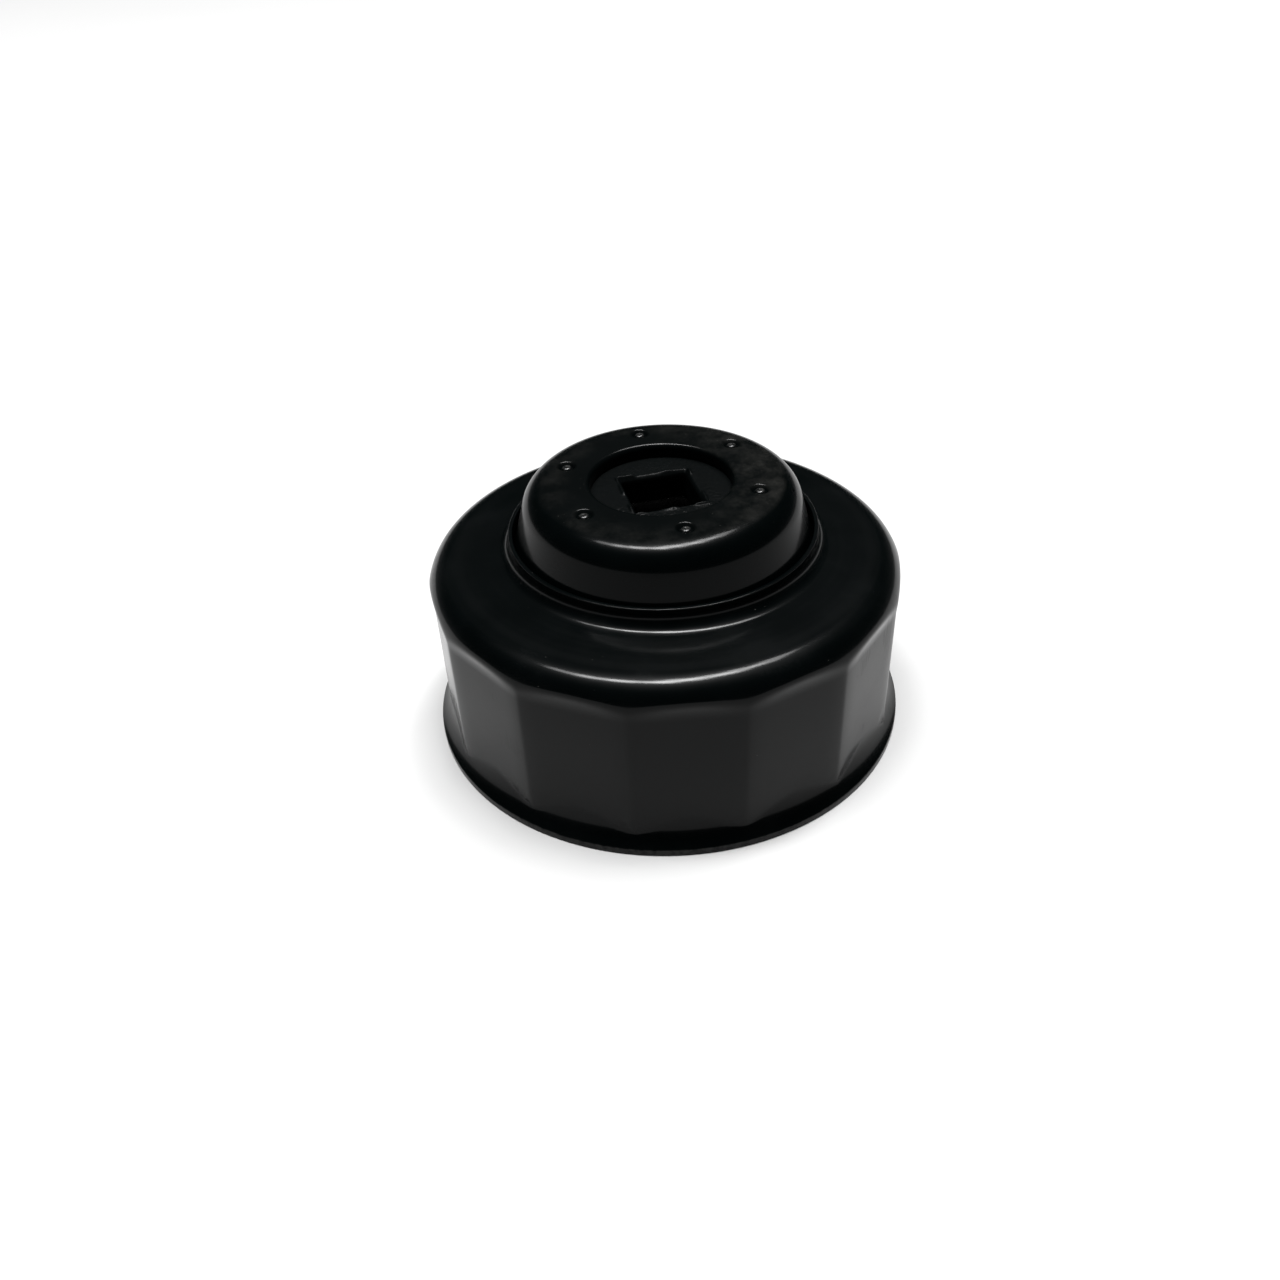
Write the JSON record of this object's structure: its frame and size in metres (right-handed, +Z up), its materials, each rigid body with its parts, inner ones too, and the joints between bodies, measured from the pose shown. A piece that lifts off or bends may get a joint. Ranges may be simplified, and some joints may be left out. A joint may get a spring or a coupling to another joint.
{
  "type": "cap oil filter wrench",
  "caption": "Black enamelled cup wrench that fits over the fluted end of an oil filter, with a raised crown and a square drive hole for a ratchet.",
  "frame": {"origin": "centre of the plane that the lip stands on, on the axis of the cup", "axes": "+Z up the axis, from the open mouth towards the crown; +X and +Y square to the sides of the drive hole"},
  "size_m": [0.0714, 0.0714, 0.0382],
  "materials": {
    "cup_enamel": "gloss black stoved enamel on pressed steel",
    "crown_enamel": "gloss black enamel, lightly scuffed on top",
    "plate_enamel": "black enamel, rough at the edges of the square hole",
    "rivet_enamel": "gloss black enamel over set rivets",
    "weld_enamel": "semi-gloss black enamel over rippled weld"
  },
  "bodies": {
    "root": {"cup_shell": "cup_enamel", "crown_cap": "crown_enamel", "drive_plate": "plate_enamel", "rivet_1": "rivet_enamel", "rivet_2": "rivet_enamel", "rivet_3": "rivet_enamel", "rivet_4": "rivet_enamel", "rivet_5": "rivet_enamel", "rivet_6": "rivet_enamel", "flange_weld_1": "weld_enamel", "flange_weld_2": "weld_enamel", "flange_weld_3": "weld_enamel", "flange_weld_4": "weld_enamel", "flange_weld_5": "weld_enamel", "flange_weld_6": "weld_enamel"}
  },
  "joints": []
}
